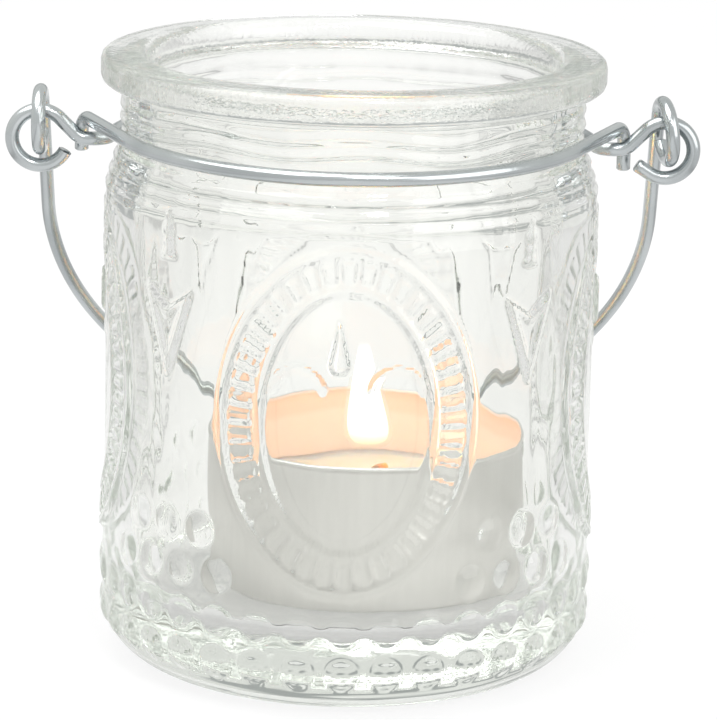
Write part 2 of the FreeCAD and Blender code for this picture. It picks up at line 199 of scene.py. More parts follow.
sample = rounded_outline([(0, 0, 0), (10, 0, 2), (10, 10, 0)])
print("two sides of 10 mm with a corner rounded by 2 are", round(outline_length(sample), 2), "mm long")

# %% [markdown]
# ## Turning an outline
#
# Turning is what a lathe or the Screw modifier does. As a formula, a point at radius r goes to r sin(a), -r cos(a)
# at the angle a from the front. The columns needn't be even: the jar crowds them in front, where the camera looks
# and where fine relief has to be round.

# %% Turning
def round_angles(columns, crowding=0.0):
    """Angles of the columns from the front: u - c sin(u) for even steps of u, which crowds them in front."""
    even = np.linspace(0, 2 * math.pi, columns, endpoint=False)
    return even - crowding * np.sin(even)


def turned(section, angle, middle=(0.0, 0.0)):
    """Turns a half section about an upright axis; angle 0 faces the front and grows anticlockwise from above."""
    radius, height = section[:, :1], section[:, 1:]
    return np.stack([middle[0] + radius * np.sin(angle), middle[1] - radius * np.cos(angle),
                     np.broadcast_to(height, (len(section), len(angle)))], -1)


def ripple(angle, height, seed):
    """A slow unevenness near -1 to 1: a sum of waves round and up the wall whose numbers follow from a seed."""
    picks = np.random.default_rng(seed)
    total = np.zeros(np.broadcast(angle, height).shape)
    for _ in range(9):
        around, rise = picks.integers(2, 13), picks.uniform(-0.35, 0.35)
        total = total + np.cos(around * angle + rise * height + picks.uniform(0, 2 * np.pi)) / 3
    return total / 2


print("first steps of 12 crowded columns:", np.round(np.degrees(np.diff(round_angles(12, 0.35))[:4]), 1))

# %% [markdown]
# ## The ovals of the jar
#
# Four ovals stand out from the wall, each with two raised lines and a ring of short ribs between them. The mould
# presses them into one skin, so they are one height for each place on the wall, added later along the normal.
# Separate little solids could be joined on, but glass bends light, and every join would show inside.

# %% Oval heights
BODY_R, NECK_R, RIM_R, MOUTH_R, INNER_R = 29.790, 27.890, 30.460, 24.690, 26.490
JAR_H, RIM_UNDER, NECK_FOOT, SHOULDER_FOOT, FLOOR_Z = 74.7, 71.1, 64.6, 58.6, 8.9
OVAL_Z, OVAL_HALF_W, OVAL_HALF_H = 36.2, 15.1, 20.8
OVAL_BORDER, OVAL_LINE, OVAL_RELIEF, OVAL_RIBS = 5.4, 1.1, 0.5, 44
OVAL_FADE, OVAL_FADE_FROM, OVAL_FADE_TO = 0.55, 43, 54


def soft_step(x, start, end):
    """0 before start, 1 after end, and a smooth cubic between."""
    t = np.clip((x - start) / (end - start), 0, 1)
    return t * t * (3 - 2 * t)


def ridge(x, low, high, flank=0.45):
    """A raised line between low and high with rounded flanks."""
    rising = soft_step(x, low - flank / 2, low + flank / 2)
    return rising * (1 - soft_step(x, high - flank / 2, high + flank / 2))


def oval_depth(across, up):
    """How far inside the outer oval a place is: the trim t at which the oval of half-axes a - t, b - t passes it.

    Found by halving the range of t twenty-four times for the whole array at once.
    """
    low, high = np.full_like(across, -6.0), np.full_like(across, OVAL_HALF_W - 0.05)
    for _ in range(24):
        middle = (low + high) / 2
        inside = (across / (OVAL_HALF_W - middle)) ** 2 + (up / (OVAL_HALF_H - middle)) ** 2 < 1
        low, high = np.where(inside, middle, low), np.where(inside, high, middle)
    return (low + high) / 2


def oval_share(across, up, depth):
    """Where a place is round the oval, 0 to 1, measured by length on the middle of the border."""
    half_w, half_h = OVAL_HALF_W - OVAL_BORDER / 2, OVAL_HALF_H - OVAL_BORDER / 2
    turn = np.linspace(-math.pi, math.pi, 721)
    steps = np.hypot(np.diff(half_w * np.cos(turn)), np.diff(half_h * np.sin(turn)))
    reach = np.concatenate([[0], np.cumsum(steps)])
    here = np.arctan2(up / (OVAL_HALF_H - depth), across / (OVAL_HALF_W - depth))
    return np.interp(here, turn, reach / reach[-1])


def oval_heights(across, height):
    """The two lines and the ribs between them, cos waves cut flat; the upper part is pressed more weakly."""
    up = height - OVAL_Z
    depth = oval_depth(across, up)
    lines = ridge(depth, 0, OVAL_LINE) + ridge(depth, OVAL_BORDER - OVAL_LINE, OVAL_BORDER)
    wave = 0.5 + 0.5 * np.cos(2 * np.pi * OVAL_RIBS * oval_share(across, up, depth))
    ribs = soft_step(wave, 0.04, 0.42) * ridge(depth, OVAL_LINE + 0.3, OVAL_BORDER - OVAL_LINE - 0.2, 0.5)
    weaker = 1 - OVAL_FADE * soft_step(height, OVAL_FADE_FROM, OVAL_FADE_TO)
    return OVAL_RELIEF * np.maximum(lines, 0.95 * ribs) * weaker


print("height in the middle of the outer line, mm:", oval_heights(np.zeros(1), np.array([15.9])).round(3))

# %% [markdown]
# ## Drops, arcs and leaves
#
# A drop hangs inside each oval over two faint arcs. Between the ovals a leaf stands on its tip, with a pendant of
# three small drops above it. They could be sculpted by hand. A formula for each keeps them sharp and the same on
# all four sides, as one mould would.

# %% Ornament heights
DROP_X, DROP_TOP, DROP_HALF_W, DROP_LENGTH, DROP_RELIEF = -0.9, 48.6, 1.25, 6.6, 0.6
ARC_X, ARC_Z, ARC_HALF_W, ARC_HALF_H, ARC_LINE, ARC_RELIEF = 5.9, 40.0, 3.1, 2.7, 0.42, 0.14
LEAF_TIP, LEAF_TOP, LEAF_HALF_W, LEAF_CLEFT, LEAF_RELIEF = 39.6, 50.2, 3.9, 2.6, 0.4
PENDANT_RELIEF = 0.4
PENDANT_DROPS = ((58.9, 0.95, 2.5), (56.6, 1.0, 1.6), (55.2, 1.5, 1.7))  # top, half width, length


def drop_shape(across, up, half_width, length):
    """A drop that hangs from a point: straight sides widen to 0.8 of its length, then the foot closes round."""
    fall = np.clip(-up / length, 0, 1)
    closing = np.sqrt(np.clip(1 - ((fall - 0.8) / 0.2) ** 2, 0, 1))
    width = half_width * np.where(fall < 0.8, fall / 0.8, closing)
    inside = np.clip(1 - (across / np.maximum(width, 1e-6)) ** 2, 0, 1)
    dome = np.where((up <= 0) & (up >= -length), np.sqrt(inside), 0)
    return dome * soft_step(np.minimum(fall, 1 - fall), 0, 0.08)


def arc_line(across, up, middle, radius_w, radius_h, width):
    """The upper half of a small oval line."""
    off = np.abs(np.hypot((across - middle[0]) / radius_w, (up - middle[1]) / radius_h) - 1) * radius_h
    return (1 - soft_step(off, width * 0.25, width)) * soft_step(up, middle[1] - 0.4, middle[1] + 0.4)


def leaf_shape(across, up):
    """A tulip leaf, tip down: straight sides that widen to the top, a cleft between two points, a sunk middle."""
    side = LEAF_HALF_W * (up - LEAF_TIP) / (LEAF_TOP - LEAF_TIP) - np.abs(across)
    top = LEAF_TOP - LEAF_CLEFT * (1 - np.clip(np.abs(across) / LEAF_HALF_W, 0, 1)) - up
    inside = np.minimum(side * 0.94, top)
    return soft_step(inside, -0.15, 0.25) * (1 - 0.55 * soft_step(inside, 0.5, 1.2))


def ornament_heights(across, beside, height):
    """The sum of drop, arcs, leaf and pendant; across is from an oval's middle, beside from between two ovals."""
    raised = DROP_RELIEF * drop_shape(across - DROP_X, height - DROP_TOP, DROP_HALF_W, DROP_LENGTH)
    for x in (-ARC_X, ARC_X):
        raised = raised + ARC_RELIEF * arc_line(across, height, (x, ARC_Z), ARC_HALF_W, ARC_HALF_H, ARC_LINE)
    raised = raised + LEAF_RELIEF * leaf_shape(beside, height)
    for top, half_width, length in PENDANT_DROPS:
        raised = raised + PENDANT_RELIEF * drop_shape(beside, height - top, half_width, length)
    return raised


print("ornaments reach from", ARC_Z - 0.4, "to", PENDANT_DROPS[0][0], "mm up the wall")

# %% [markdown]
# ## Beads
#
# Two rows of beads run round the foot, and between the ovals three more rows narrow to a point. Spheres could be
# sunk into the wall, as the CAD model does. A low round cap for each place on a ten-degree grid looks the same in
# glass and leaves the skin whole.

# %% Bead heights
BEAD_R, BEAD_RELIEF, BEAD_FIRST, BEAD_PITCH = 2.05, 0.42, 5.8, 5.3
BEAD_STEP = math.radians(10)
BEAD_ROWS = ((0, None), (0, None), (0, 17), (BEAD_STEP / 2, 11), (0, 3))  # shift, reach beside a corner in degrees
QUARTER = math.pi / 2


def bead_heights(angle, height):
    """The tallest of the caps h(1 - (d / r)^2), where d is the distance to the nearest bead of each row."""
    tallest = np.zeros_like(angle)
    for row, (shift, limit) in enumerate(BEAD_ROWS):
        nearest = np.round((angle - shift) / BEAD_STEP) * BEAD_STEP + shift
        off = np.hypot(BODY_R * (angle - nearest), height - BEAD_FIRST - row * BEAD_PITCH)
        cap = BEAD_RELIEF * np.maximum(1 - (off / BEAD_R) ** 2, 0)
        if limit is not None:
            cap = np.where(np.abs(nearest % QUARTER - QUARTER / 2) <= math.radians(limit), cap, 0)
        tallest = np.maximum(tallest, cap)
    return tallest


def relief(angle, height):
    """The raised height of the outer wall at an angle from the front; it repeats every quarter turn."""
    across = BODY_R * np.sin((angle + QUARTER / 2) % QUARTER - QUARTER / 2)
    beside = BODY_R * (angle % QUARTER - QUARTER / 2)
    return oval_heights(across, height) + ornament_heights(across, beside, height) + bead_heights(angle, height)


print("height of the first bead, mm:", relief(np.zeros(1), np.array([BEAD_FIRST])).round(3))

# %% [markdown]
# ## The outside of the jar
#
# The wall was pressed in a mould, so besides the relief it has a full foot, three fine ledges on the shoulder and
# drawn lines round the neck that wander a little. A subdivided mesh with a displacement map could carry them. Here
# each is a soft bump in a formula, and the rows lie close together only where the relief needs them.

# %% Outer wall
OUTER_COLUMNS, INNER_COLUMNS, CROWDING = 480, 160, 0.35
OUTER_CORNERS = [(0, 0, 0), (BODY_R, 0, 6.7), (BODY_R, SHOULDER_FOOT, 9.0), (NECK_R, NECK_FOOT, 9.0),
                 (NECK_R, RIM_UNDER, 0.5), (RIM_R, RIM_UNDER, 1.0), (RIM_R, JAR_H, 1.0), (27.7, JAR_H, 0)]
RELIEF_FROM, RELIEF_TO, RIM_RUN = 23.0, 92.0, 10.5
LEDGES, LEDGE_WIDTH, LEDGE_RISE = (58.9, 60.5, 62.2), 0.42, 0.28
DRAWN_LINES, DRAWN_WIDTH, DRAWN_DRIFT = ((65.6, 0.08), (67.2, 0.24), (69.0, 0.24)), 0.5, 0.7
BELLY_RISE, OUTER_RIPPLE = 0.2, 0.05


def outer_rows(outline):
    """Distances along the outer outline: far apart under the base, close on the relief, and fine at the rim."""
    total = outline_length(outline)
    rim = total - RIM_RUN
    return np.concatenate([np.linspace(0.5, RELIEF_FROM, 4, endpoint=False),
                           np.linspace(RELIEF_FROM, RELIEF_TO, 149, endpoint=False),
                           np.linspace(RELIEF_TO, rim, 16, endpoint=False),
                           np.linspace(rim, total, 20)])


def outer_skin():
    """The turned outline, raised along its normal by the relief, the ledges, the drawn lines and a slow ripple."""
    outline = rounded_outline(OUTER_CORNERS)
    reach = outer_rows(outline)
    section = along(outline, reach)
    slope = along(outline, reach + 0.05) - along(outline, reach - 0.05)
    slope /= np.linalg.norm(slope, axis=1, keepdims=True)
    angle, height = round_angles(OUTER_COLUMNS, CROWDING)[None, :], section[:, 1:]
    raised = relief(*np.broadcast_arrays(angle, height))
    raised = raised * soft_step(height, 1.2, 3.4) * (1 - soft_step(height, SHOULDER_FOOT, SHOULDER_FOOT + 0.8))
    ledges = sum(np.exp(-((height - level) / LEDGE_WIDTH) ** 2) for level in LEDGES)
    wander = height + DRAWN_DRIFT * ripple(angle, height, 12)
    drawn = sum(rise * np.exp(-((wander - level) / DRAWN_WIDTH) ** 2) for level, rise in DRAWN_LINES)
    belly = BELLY_RISE * (1 - soft_step(height, 13.0, 22.0)) * soft_step(height, 1.0, 6.0)
    uneven = OUTER_RIPPLE * ripple(angle, height, 3) * soft_step(height, 2, 8)
    raised = raised + belly + LEDGE_RISE * ledges + drawn + uneven
    radius = section[:, :1] + raised * slope[:, 1:]
    return np.stack([radius * np.sin(angle), -radius * np.cos(angle), height - raised * slope[:, :1]], -1)


outer_wall = outer_skin()
print("outer wall:", outer_wall.shape[0], "rows of", outer_wall.shape[1])

# %% [markdown]
# ## The inside of the jar, and the whole skin
#
# A plunger shapes the inside and leaves only slow ripples, so a third of the columns is enough. Outside and inside
# are one closed skin, because light has to enter and leave the glass through real walls. A Solidify modifier would
# give an even wall, which a pressed jar hasn't got. One ring of six-sided faces on the rim joins the two grids.

# %% Jar
INNER_CORNERS = [(27.5, JAR_H, 0), (MOUTH_R, JAR_H, 1.5), (MOUTH_R, 61.2, 1.6), (INNER_R, 58.6, 1.6),
                 (INNER_R, FLOOR_Z, 3.0), (0, FLOOR_Z, 0)]
MOUTH_RUN, PLUNGER_RIPPLE = 17, 0.0045


def inner_skin():
    """The inner outline, turned and drawn in by a share of up to 0.0045 of its radius where the ripple is high."""
    outline = rounded_outline(INNER_CORNERS)
    section = along(outline, np.concatenate([np.linspace(0, MOUTH_RUN, 22, endpoint=False),
                                             np.linspace(MOUTH_RUN, outline_length(outline) - 1, 30)]))
    angle, level = round_angles(INNER_COLUMNS, CROWDING), section[:, 1:]
    skin = turned(section, angle)
    slow = 0.5 + 0.5 * ripple(angle[None, :], level, 8)
    drawn_in = 1 - PLUNGER_RIPPLE * slow * soft_step(level, FLOOR_Z + 3, FLOOR_Z + 10)
    skin[..., :2] *= drawn_in[..., None]
    return skin


def jar_faces(outer, inner):
    """Closes the skin: both grids, a fan under the base, a fan on the floor, and the ring on the rim."""
    outer_count, inner_count = outer.shape[0] * OUTER_COLUMNS, inner.shape[0] * INNER_COLUMNS
    base_tip, floor_tip = outer_count + inner_count, outer_count + inner_count + 1
    small = np.arange(INNER_COLUMNS)
    faces = grid_faces(outer.shape[0], OUTER_COLUMNS).tolist()
    faces += grid_faces(inner.shape[0], INNER_COLUMNS, outer_count).tolist()
    faces += fan_faces(np.arange(OUTER_COLUMNS), base_tip, True).tolist()
    faces += fan_faces(small + base_tip - INNER_COLUMNS, floor_tip, False).tolist()
    step = OUTER_COLUMNS // INNER_COLUMNS
    rim = outer_count - OUTER_COLUMNS + (small[:, None] * step + np.arange(step + 1)) % OUTER_COLUMNS
    lip = outer_count + np.stack([(small + 1) % INNER_COLUMNS, small], 1)
    return faces + np.concatenate([rim, lip], 1).tolist()


inner_wall = inner_skin()
jar_tips = [[0, 0, 0], [0, 0, FLOOR_Z]]
jar_points = np.concatenate([outer_wall.reshape(-1, 3), inner_wall.reshape(-1, 3), jar_tips])
jar = new_piece("jar_glass", jar_points, jar_faces(outer_wall, inner_wall), "jar", "glass_jar")

# %% [markdown]
# ## Where the glass is wavy
#
# The glass is calm in the front oval, through which the tealight shows clearly, and wavy at the neck, at the back
# and on the inside. A painted map could say where. One number for each point is worked out from its height and
# bearing instead, and the glass finish reads it.

# %% Waviness
outer_count = outer_wall.shape[0] * OUTER_COLUMNS
bearing = np.arctan2(jar_points[:, 0], -jar_points[:, 1])
level = jar_points[:, 2]
calm_front = 1 - 0.8 * np.exp(-(bearing / math.radians(25)) ** 2) * (1 - soft_step(level, 54, 58))
waviness = soft_step(level, 10, 16) * calm_front
outside, aside = level[:outer_count], np.abs(bearing[:outer_count])
neck_waves = 0.6 * soft_step(outside, 58.5, 60) * (1 - soft_step(outside, 71, 73))
back_waves = 0.55 * soft_step(aside, math.radians(100), math.radians(135)) * (1 - soft_step(outside, 56, 58.5))
waviness[:outer_count] = neck_waves + back_waves * soft_step(outside, 14, 22)
add_values(jar, "waviness", waviness)

# %% [markdown]
# ## The wires
#
# Each wire is bent like a real one: straight runs and round bends, one after another. The path could be a curve
# with a bevel. Carrying a small frame along the bends instead gives a tube with no twist, and the same steps that
# the CAD wires have. The cut ends are chamfered a little, as side cutters leave them.

# %% Bent paths
WIRE_R, WIRE_COLUMNS, WIRE_CHAMFER, LONGEST_STEP = 0.85, 24, 0.16, 1.2
RIGHT, BACK, UP = np.eye(3)


def turned_vectors(vectors, axis, angle):
    """Vectors turned about a unit axis by each angle: v cos + (axis x v) sin + axis (axis . v)(1 - cos)."""
    cosine, sine = np.cos(angle)[:, None], np.sin(angle)[:, None]
    return vectors * cosine + np.cross(axis, vectors) * sine + axis * (axis @ vectors) * (1 - cosine)


def bend_path(start, steps):
    """Follows runs (length,) and bends (axis, radius, degrees) from a start that heads along +X.

    Returns the points, headings and side vectors; within a bend all three turn about its axis together.
    """
    here, heading, side = np.array(start, float), RIGHT, UP
    points, headings, sides = [here[None]], [heading[None]], [side[None]]
    for step in steps:
        if len(step) == 1:
            share = np.linspace(0, 1, max(2, int(step[0] / LONGEST_STEP)) + 1)[1:, None]
            path = here + heading * step[0] * share
            ways, flanks = np.repeat(heading[None], len(path), 0), np.repeat(side[None], len(path), 0)
        else:
            axis, radius, degrees = step
            parts = max(6, int(max(degrees / 5, math.radians(degrees) * radius / LONGEST_STEP)))
            angle = np.linspace(0, math.radians(degrees), parts + 1)[1:]
            centre = here + np.cross(axis, heading) * radius
            path = centre + turned_vectors(here - centre, axis, angle)
            ways, flanks = turned_vectors(heading, axis, angle), turned_vectors(side, axis, angle)
        points.append(path)
        headings.append(ways)
        sides.append(flanks)
        here, heading, side = path[-1], ways[-1], flanks[-1]
    return np.concatenate(points), np.concatenate(headings), np.concatenate(sides)


def whole_path(start, left_steps, right_steps):
    """Both halves of a wire in one run from its left end: the left half is bent as listed and mirrored in X."""
    mirror = np.array([-1.0, 1.0, 1.0])
    points, headings, sides = bend_path(start, left_steps)
    right = bend_path(start, right_steps)
    left = (points * mirror, headings * -mirror, sides * mirror)
    return [np.concatenate([one[::-1], other[1:]]) for one, other in zip(left, right)]


def placed(path, tilt_degrees, offset):
    """A path leaned back about X and moved to its place."""
    angle = np.array([math.radians(tilt_degrees)])
    lean = np.stack([turned_vectors(axis, RIGHT, angle)[0] for axis in np.eye(3)])
    points, headings, sides = path
    return points @ lean + np.array(offset), headings @ lean, sides @ lean


print("a quarter bend of radius 5 ends at", bend_path((0, 0, 0), [(UP, 5, 90)])[0][-1].round(2))

# %% [markdown]
# ## A tube round a path
#
# A wire is a ring of points carried along its path. The Curve object can do it with a round bevel. With arrays the
# rings at both ends can be drawn in for the chamfer, and the mesh is closed at once.

# %% Tubes
def tube(points, headings, sides):
    """A round tube: each path point carries a ring of radius r in the plane of its side vector and heading x side."""
    first, last = points[:1] + headings[:1] * WIRE_CHAMFER, points[-1:] - headings[-1:] * WIRE_CHAMFER
    centres = np.concatenate([points[:1], first, points[1:-1], last, points[-1:]])
    ways = np.concatenate([headings[:1], headings, headings[-1:]])
    flanks = np.concatenate([sides[:1], sides, sides[-1:]])
    sizes = np.full(len(centres), WIRE_R)
    sizes[[0, -1]] = WIRE_R - WIRE_CHAMFER
    angle = np.linspace(0, 2 * np.pi, WIRE_COLUMNS, endpoint=False)
    across, over = flanks[:, None], np.cross(ways, flanks)[:, None]
    round_part = across * np.cos(angle)[None, :, None] + over * np.sin(angle)[None, :, None]
    return centres[:, None] + round_part * sizes[:, None, None]


def wire_piece(name, path, body, node):
    """A tube of wire as a piece; its length is printed."""
    points, faces = capped_grid(tube(*path))
    piece = new_piece(name, points, faces, body, node)
    print(f"{name}: {outline_length(path[0]):.1f} mm of wire")
    return piece


# %% [markdown]
# ## The back of the neck tie
#
# One wire goes round the back of the neck. At each side it turns out, climbs and curls into the ear that carries
# the handle. It could be drawn point by point. As a list of bends it stays true to a real wire, and only the
# sweep and the tail of the two ears differ.

# %% Back wire
BACK_WRAP, BACK_WIRE_Z = 29.6075, 63.5
EAR_R, EAR_TURN_R, EAR_LEAD, EAR_RISE_R, EAR_RISE = 3.4, 2.2, 0.4, 2.2, 45
LEFT_EAR_SWEEP, LEFT_EAR_TAIL = 286, 0.2
RIGHT_EAR_SWEEP, RIGHT_EAR_TAIL = 258, 1.9
ear_turn = math.degrees(math.asin(EAR_TURN_R / (BACK_WRAP + EAR_TURN_R)))
rise = math.radians(EAR_RISE)
ear_climb = EAR_R * math.cos(rise) - EAR_RISE_R * (1 - math.cos(rise))
to_ear = [(-UP, BACK_WRAP, 90 - ear_turn), (UP, EAR_TURN_R, 90 - ear_turn), (EAR_LEAD,),
          (-BACK, EAR_RISE_R, EAR_RISE), (ear_climb / math.sin(rise),)]
left_ear = to_ear + [(BACK, EAR_R, LEFT_EAR_SWEEP), (LEFT_EAR_TAIL,)]
right_ear = to_ear + [(BACK, EAR_R, RIGHT_EAR_SWEEP), (RIGHT_EAR_TAIL,)]
back_path = placed(whole_path((0, BACK_WRAP, 0), left_ear, right_ear), 0, (0, 0, BACK_WIRE_Z))
back_wire = wire_piece("tie_wire_back", back_path, "jar", "neck_wire_back")

# %% [markdown]
# ## The front of the neck tie
#
# The second wire lies across the front, runs straight past the neck and hooks over the first one. Both halves of
# the tie could be one ring, but then the hooks that hold it together would be missing. The tails are cut to the
# lengths that show in the photograph.

# %% Front wire
FRONT_WRAP, FRONT_WIRE_Z, FRONT_TILT = 28.99, 65.95, 2.1
WRAP_ANGLE, HOOK_R, LEFT_HOOK_TAIL, RIGHT_HOOK_TAIL = 65, 2.35, 2.0, 3.1
wrap = math.radians(WRAP_ANGLE)
hook_axis = np.cross(UP, [math.cos(wrap), math.sin(wrap), 0])
to_hook = [(UP, FRONT_WRAP, WRAP_ANGLE), (FRONT_WRAP / math.tan(wrap),), (hook_axis, HOOK_R, 90)]
left_hook, right_hook = to_hook + [(LEFT_HOOK_TAIL,)], to_hook + [(RIGHT_HOOK_TAIL,)]
front_ring = whole_path((0, -FRONT_WRAP, 0), left_hook, right_hook)
front_path = placed(front_ring, FRONT_TILT, (0, 0, FRONT_WIRE_Z))
front_wire = wire_piece("tie_wire_front", front_path, "jar", "neck_wire_front")

# %% [markdown]
# ## The bail
#
# The handle is a round arch with two legs, and each leg ends in an eye that is linked through an ear. It rests
# behind the jar, so it is built hanging straight and then leaned back about the line through its eyes. That line
# is also its hinge, so the pose at rest and the swing agree.

# %% Bail
EYE_R, EYE_SWEEP, EYE_TWIST, LEG = 3.5, 300, math.radians(12), 16.9
BAIL_LEAN, HINGE_Y, HINGE_Z = 31.11, 0.445, 65.678
twist_shift = EYE_R * math.sin(EYE_TWIST)
ear_reach = (BACK_WRAP + EAR_TURN_R) * math.cos(math.radians(ear_turn)) + EAR_LEAD
ear_reach += (EAR_RISE_R + EAR_R) * math.sin(rise) + ear_climb / math.tan(rise)
arch_r = ear_reach - twist_shift / 2
legs = [(-BACK, arch_r, 90), (LEG,)]
twisted_axis = np.array([math.cos(EYE_TWIST), math.sin(EYE_TWIST), 0])
left_eye, right_eye = legs + [(RIGHT, EYE_R, EYE_SWEEP)], legs + [(twisted_axis, EYE_R, EYE_SWEEP)]
hanging = whole_path((0, EYE_R, -LEG - arch_r), left_eye, right_eye)
bail_path = placed(hanging, BAIL_LEAN, (-twist_shift / 2, HINGE_Y, HINGE_Z))
bail = wire_piece("bail_wire", bail_path, "bail", "bail_handle")

# %% [markdown]
# ## The tealight's cup
#
# The cup is pressed from foil, so its wall is thin, its lip is rolled and its side is not quite true. It could be
# a cylinder with a Solidify modifier. A closed half section shows the rolled lip and the stepped foot, and a slow
# ripple dents the wall. Points inside are marked, because burnt wax has left a film there and the candle's glow is
# painted on it.

# %% Cup
CUP_MIDDLE = (2.65, 2.0)
CUP_R, CUP_INNER, CUP_TOP, CUP_COLUMNS = 19.25, 18.95, 27.6, 192
LIP_MIDDLE_R, LIP_R, LIP_POINTS_OUTSIDE = 19.1, 0.32, 9
HEEL_R, HEEL_Z, WALL_TOP, DENT = 0.9, 9.86, 27.0, 0.05


def cup_skin():
    """Under the foot, up the outside, round the lip and down the inside: one half section, turned and dented.

    Also returns 1 for each point inside and 0 for the rest.
    """
    under = np.array([[0.5, 9.25], [15.6, 9.25], [16.4, 9.1], [17.1, 8.98]])
    bend = np.linspace(0, np.pi / 2, 8)
    heel = np.stack([CUP_R - HEEL_R + HEEL_R * np.cos(bend), HEEL_Z - HEEL_R * np.sin(bend)], -1)[::-1]
    outside = np.stack([np.full(30, CUP_R), np.linspace(10.2, WALL_TOP, 30)], -1)[1:]
    roll = np.linspace(np.radians(-55), np.radians(235), 15)
    lip = np.stack([LIP_MIDDLE_R + LIP_R * np.cos(roll), CUP_TOP + LIP_R * np.sin(roll)], -1)
    inside = np.stack([np.full(22, CUP_INNER), np.linspace(WALL_TOP, 9.9, 22)], -1)[1:]
    floor = np.array([[18.4, 9.45], [17.0, 9.40], [15.0, 9.43], [0.5, 9.45]])
    section = np.concatenate([under, heel, outside, lip, inside, floor])
    angle = round_angles(CUP_COLUMNS)
    grid = turned(section, angle, CUP_MIDDLE)
    wall = soft_step(section[:, 1], 10.0, 13.0) * (1 - soft_step(section[:, 1], 25.5, 27.2))
    dent = DENT * ripple(angle[None, :], section[:, 1:], 21) * wall[:, None]
    flat = (grid - np.array([*CUP_MIDDLE, 0])) * np.array([1, 1, 0])
    grid = grid + flat / np.linalg.norm(flat, axis=-1, keepdims=True) * dent[..., None]
    first_inside = len(under) + len(heel) + len(outside) + LIP_POINTS_OUTSIDE
    inner_side = np.arange(len(section)) >= first_inside
    return grid, np.repeat(inner_side.astype(float), CUP_COLUMNS)


cup_grid, cup_inside = cup_skin()
cup_points, cup_faces = capped_grid(cup_grid)
cup = new_piece("tealight_foil", cup_points, cup_faces, "tealight", "tealight_cup")
add_values(cup, "inside", np.concatenate([cup_inside, [0, 1]]))

# %% [markdown]
# ## The wax
#
# The wax has burnt down by nearly half, and its pool is molten. A liquid climbs a little where it meets the cup and
# the wick. A plain cylinder would end in hard edges there, so the top is a level plus two rises that die away.

# %% Wax
WICK_R = 0.65
WAX_TOP, WAX_R, WAX_COLUMNS = 19.4, 18.85, 160


def wax_skin():
    """A disc whose top is level + 0.55 exp(-d / 0.55) at d from the wall + 0.3 exp(-e / 0.5) at e from the wick."""
    away = np.concatenate([np.linspace(WAX_R, 15.5, 9), np.linspace(15.0, 0.68, 26)])
    climb = 0.55 * np.exp(-(WAX_R + 0.05 - away) / 0.55)
    collar = 0.30 * np.exp(-(away - WICK_R) / 0.5)
    top = np.stack([away, WAX_TOP - 0.25 + climb + collar], -1)
    side = np.array([[0.5, 9.55], [17.6, 9.55], [18.5, 9.9], [WAX_R, 10.6], [WAX_R, 15.0], [WAX_R, 19.2]])
    section = np.concatenate([side, top])
    angle = round_angles(WAX_COLUMNS)
    grid = turned(section, angle, CUP_MIDDLE)
    pool = (section[:, 1:] > WAX_TOP - 0.6) & (section[:, :1] < 18)
    grid[..., 2] += np.where(pool, 0.035 * ripple(angle[None, :], section[:, :1], 5), 0)
    return grid


wax_points, wax_faces = capped_grid(wax_skin())
wax = new_piece("tealight_pool", wax_points, wax_faces, "tealight", "tealight_wax")

# %% [markdown]
# ## The wick
#
# The wick is braided cotton that bends over and burns away at its tip. Strands could be modelled and woven. At this
# size two crossing sets of waves in the radius read as a braid. Each point keeps its share of the length, so that
# the finish can char the end.

# %% Wick
WICK_STAND, WICK_BEND_R, WICK_BEND, WICK_TIP, WICK_COLUMNS = 1.0, 2.4, 62, 0.9, 24
SHEET_TOP = FLOOR_Z + 0.6
BRAID_TURN = 2.4
wick_heading = math.radians(-12)
wick_axis = np.cross(UP, [math.cos(wick_heading), math.sin(wick_heading), 0])


def wick_path():
    """Points and headings: straight up out of the wax, round a bend about a level axis, and a short tip."""
    stem = np.linspace(0, WAX_TOP + WICK_STAND - SHEET_TOP, 60)[:, None]
    points = np.array([*CUP_MIDDLE, SHEET_TOP]) + UP * stem
    angle = np.linspace(0, math.radians(WICK_BEND), 22)[1:]
    centre = points[-1] + np.cross(wick_axis, UP) * WICK_BEND_R
    bend = centre + turned_vectors(points[-1] - centre, wick_axis, angle)
    ways = turned_vectors(UP, wick_axis, angle)
    tip = bend[-1] + ways[-1] * np.linspace(0, WICK_TIP, 10)[1:, None]
    headings = [np.repeat(UP[None], len(points), 0), ways, np.repeat(ways[-1:], len(tip), 0)]
    return np.concatenate([points, bend, tip]), np.concatenate(headings)


def wick_skin():
    """A tube of radius r(0.84 + 0.08 braid), braid = |cos(1.5 a + k s)| + |cos(1.5 a - k s)|, thinner where burnt."""
    path, ways = wick_path()
    flank = np.repeat(wick_axis[None], len(path), 0)
    over = np.cross(ways, flank)
    turn = np.linspace(0, 2 * np.pi, WICK_COLUMNS, endpoint=False)[None, :]
    length = np.concatenate([[0], np.cumsum(np.linalg.norm(np.diff(path, axis=0), axis=1))])[:, None]
    twist = BRAID_TURN * length
    braid = np.abs(np.cos(1.5 * turn + twist)) + np.abs(np.cos(1.5 * turn - twist))
    burnt = soft_step(length, length[-1] - 1.2, length[-1])
    radius = WICK_R * (0.84 + 0.08 * braid) * (1 - 0.28 * burnt)
    ring = flank[:, None] * np.cos(turn)[..., None] + over[:, None] * np.sin(turn)[..., None]
    share = np.repeat((length / length[-1]).ravel(), WICK_COLUMNS)
    return path[:, None] + ring * radius[..., None], share


wick_grid, wick_share = wick_skin()
wick_points, wick_faces = capped_grid(wick_grid)
wick = new_piece("tealight_wick_braid", wick_points, wick_faces, "tealight", "tealight_wick")
add_values(wick, "share", np.concatenate([wick_share, [0, 1]]))

# %% [markdown]
# ## The wick's foot
#
# A tin disc with a short collar holds the wick upright. It is sunk in the wax and can't be seen, but the lift of
# the tealight takes it along, so it is made like the other turned pieces: a half section with small roundings.

